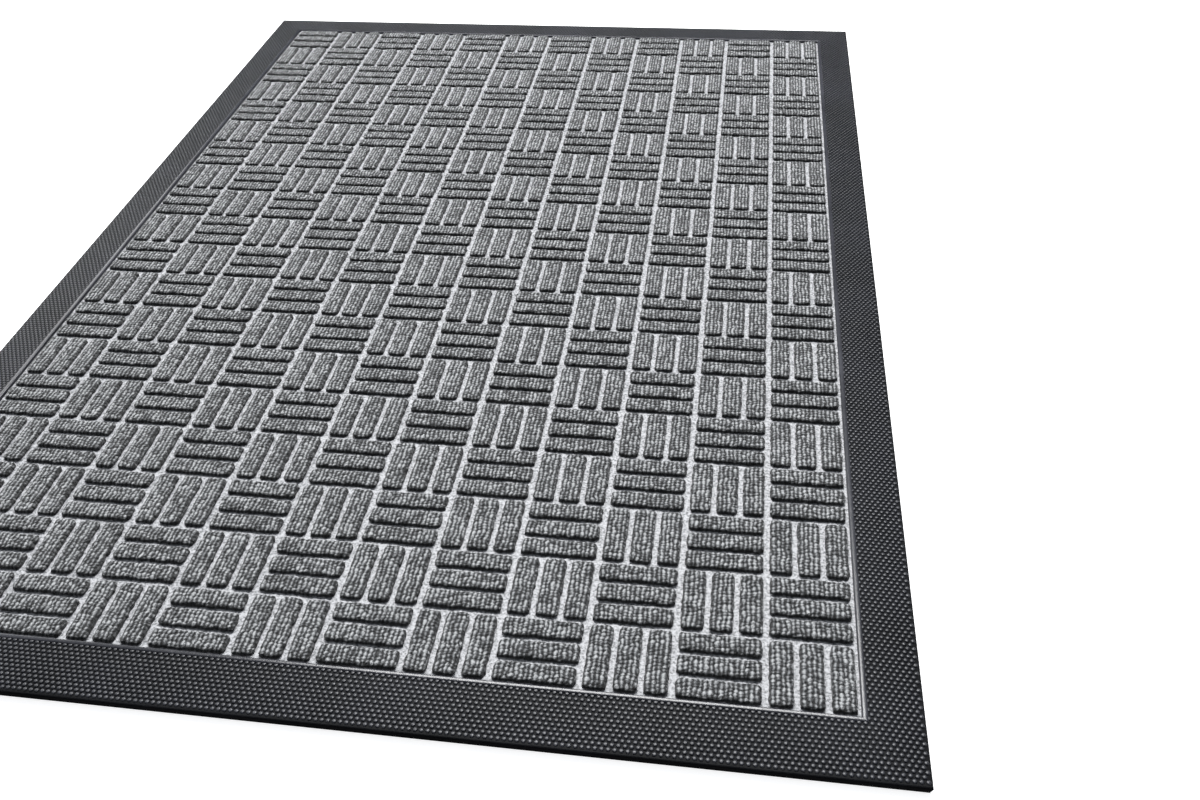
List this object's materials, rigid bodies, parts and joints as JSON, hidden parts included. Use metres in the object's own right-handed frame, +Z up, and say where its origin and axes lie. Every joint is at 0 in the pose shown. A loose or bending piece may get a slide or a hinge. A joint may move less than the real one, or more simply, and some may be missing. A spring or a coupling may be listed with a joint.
{
  "type": "door mat",
  "caption": "Flat rectangular entrance mat with a basket-weave relief carpet face on a bevelled rubber base.",
  "frame": {"origin": "on the floor, under the middle of the mat", "axes": "+Z up from the floor, +Y along the long side towards the back edge, +X to the right along the short side"},
  "size_m": [0.586, 0.905, 0.008],
  "materials": {
    "backing_rubber": "moulded black rubber, matt, with a fine grip texture below",
    "edge_rubber": "moulded black rubber with fine raised dots, satin",
    "bead_rubber": "smooth moulded rubber, satin, paler with bloom",
    "ribbed_carpet": "ribbed looped polypropylene in mixed greys, pressed glossy and pale in the grooves",
    "core_rubber": "moulded black rubber, hidden inside the bars"
  },
  "bodies": {
    "root": {"backing_sheet": "backing_rubber", "border_front": "edge_rubber", "border_back": "edge_rubber", "border_left": "edge_rubber", "border_right": "edge_rubber", "bead_front": "bead_rubber", "bead_back": "bead_rubber", "bead_left": "bead_rubber", "bead_right": "bead_rubber", "carpet_facing": "ribbed_carpet", "bar_cores_across": "core_rubber", "bar_cores_along": "core_rubber"}
  },
  "joints": []
}
